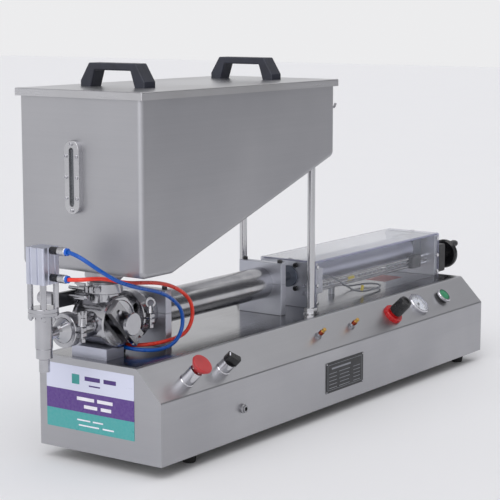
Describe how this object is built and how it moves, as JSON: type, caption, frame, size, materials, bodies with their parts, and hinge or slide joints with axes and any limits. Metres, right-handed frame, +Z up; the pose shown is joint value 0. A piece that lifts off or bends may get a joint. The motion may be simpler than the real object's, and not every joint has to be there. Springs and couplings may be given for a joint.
{
  "type": "piston liquid filler",
  "caption": "Bench-top pneumatic piston filler: lidded hopper over a rotary valve, metering cylinder, air cylinder under a clear cover, side nozzle and sloping control panel.",
  "frame": {"origin": "centre of the machine's footprint, on the bench under its feet", "axes": "+X from the nozzle towards the handwheel, +Z up, the control panel faces -Y"},
  "size_m": [1.1986, 0.2948, 0.6001],
  "materials": {
    "stainless": "brushed stainless sheet",
    "polished_steel": "polished stainless",
    "aluminium": "fine milled aluminium",
    "anodised": "clear anodised tube",
    "chrome": "bright plated",
    "black_plastic": "satin black",
    "dark_blue_plastic": "satin blue-black",
    "rubber": "matte",
    "red_plastic": "satin red",
    "green_plastic": "satin green",
    "blue_tube": "smooth polyurethane",
    "red_tube": "smooth polyurethane",
    "cable": "matte grey",
    "clear": "clear acrylic",
    "label": "printed film",
    "brass": "machined",
    "copper_red": "anodised knurled brass",
    "seal": "white sealing ring"
  },
  "bodies": {
    "frame": {"base_housing": "stainless", "base_floor": "stainless", "deck_plate": "polished_steel", "rubber_feet": "rubber", "end_label": "label", "rating_plate": "black_plastic", "hopper_body": "stainless", "sight_frame": "stainless", "sight_pane": "clear", "sight_screws": "chrome", "hopper_posts": "stainless", "valve_body": "stainless", "valve_caps": "stainless", "valve_support": "aluminium", "rear_actuator": "polished_steel", "clamp_rings": "stainless", "clamp_bolts_and_wing_nuts": "polished_steel", "nozzle_cylinder": "aluminium", "nozzle_flange_and_rods": "polished_steel", "nozzle_tube": "stainless", "nozzle_tip": "polished_steel", "push_in_fittings": "black_plastic", "blue_hose": "blue_tube", "red_hose": "red_tube", "sensor_cable": "cable", "product_cylinder": "stainless", "cylinder_front_cap": "stainless", "clamp_blocks": "aluminium", "end_plates": "aluminium", "acrylic_cover": "clear", "cap_screws": "black_plastic", "cover_screws": "chrome", "air_barrel": "anodised", "air_cylinder_caps": "aluminium", "guide_rods": "chrome", "sensor_bracket": "aluminium", "counter_housing": "black_plastic", "button_bodies": "chrome", "gauge_body": "chrome", "pneumatic_bodies": "brass", "air_inlet": "polished_steel"},
    "lid": {"hopper_lid": "stainless", "lid_handles": "dark_blue_plastic"},
    "piston": {"piston_rod": "chrome", "piston_seals": "seal"},
    "valve": {"valve_spool": "polished_steel", "valve_lever": "stainless", "lever_knob_and_pins": "polished_steel"},
    "stem": {"nozzle_stem": "polished_steel"},
    "estop": {"estop_button": "red_plastic"},
    "selector": {"selector_knob": "black_plastic"},
    "start": {"start_button": "green_plastic"},
    "regulator": {"regulator_knob": "black_plastic"},
    "needle": {"gauge_needle": "black_plastic"},
    "speed_left": {"speed_knob_left": "copper_red"},
    "speed_right": {"speed_knob_right": "copper_red"},
    "wheel": {"lead_screw": "chrome", "handwheel": "black_plastic"},
    "grip": {"crank_grip": "black_plastic"},
    "carriage": {"sensor_carriage": "black_plastic"}
  },
  "joints": [
    {"name": "lid_lift", "type": "slide", "parent": "frame", "child": "lid", "axis": [0, 0, 1], "range_m": [0, 0.15]},
    {"name": "piston_stroke", "type": "slide", "parent": "frame", "child": "piston", "axis": [1, 0, 0], "range_m": [0, 0.25]},
    {"name": "valve_turn", "type": "hinge", "parent": "frame", "child": "valve", "pos_m": [-0.44075, 0.02474, 0.2146], "axis": [0, 1, 0], "range_deg": [-90, 0]},
    {"name": "stem_lift", "type": "slide", "parent": "frame", "child": "stem", "axis": [0, 0, 1], "range_m": [0, 0.015]},
    {"name": "estop_press", "type": "slide", "parent": "frame", "child": "estop", "axis": [0, -0.7133, 0.7009], "range_m": [-0.004, 0]},
    {"name": "selector_turn", "type": "hinge", "parent": "frame", "child": "selector", "pos_m": [-0.31575, -0.10404, 0.13313], "axis": [0, -0.7133, 0.7009], "range_deg": [-90, 0]},
    {"name": "start_press", "type": "slide", "parent": "frame", "child": "start", "axis": [0, -0.7133, 0.7009], "range_m": [-0.004, 0], "stiffness_N_per_m": 500},
    {"name": "regulator_turn", "type": "hinge", "parent": "frame", "child": "regulator", "pos_m": [0.19925, -0.10193, 0.13527], "axis": [0, -0.7133, 0.7009], "range_deg": [-360, 360]},
    {"name": "needle_turn", "type": "hinge", "parent": "frame", "child": "needle", "pos_m": [0.29925, -0.09843, 0.13884], "axis": [0, -0.7133, 0.7009], "range_deg": [-270, 0]},
    {"name": "speed_left_turn", "type": "hinge", "parent": "frame", "child": "speed_left", "pos_m": [-0.04075, -0.09983, 0.13741], "axis": [0, -0.7133, 0.7009], "range_deg": [-1440, 1440]},
    {"name": "speed_right_turn", "type": "hinge", "parent": "frame", "child": "speed_right", "pos_m": [0.06425, -0.09983, 0.13741], "axis": [0, -0.7133, 0.7009], "range_deg": [-1440, 1440]},
    {"name": "handwheel_turn", "type": "hinge", "parent": "frame", "child": "wheel", "pos_m": [0.55725, -0.00856, 0.1935], "axis": [1, 0, 0], "range_deg": [-7200, 720]},
    {"name": "grip_spin", "type": "hinge", "parent": "wheel", "child": "grip", "pos_m": [0.57525, -0.01733, 0.21148], "axis": [1, 0, 0], "continuous": true},
    {"name": "carriage_slide", "type": "slide", "parent": "frame", "child": "carriage", "axis": [1, 0, 0], "range_m": [-0.2005, 0.0205]}
  ],
  "couplings": [
    {"joint": "carriage_slide", "follows": "handwheel_turn", "m_per_rad": 0.0015915}
  ]
}
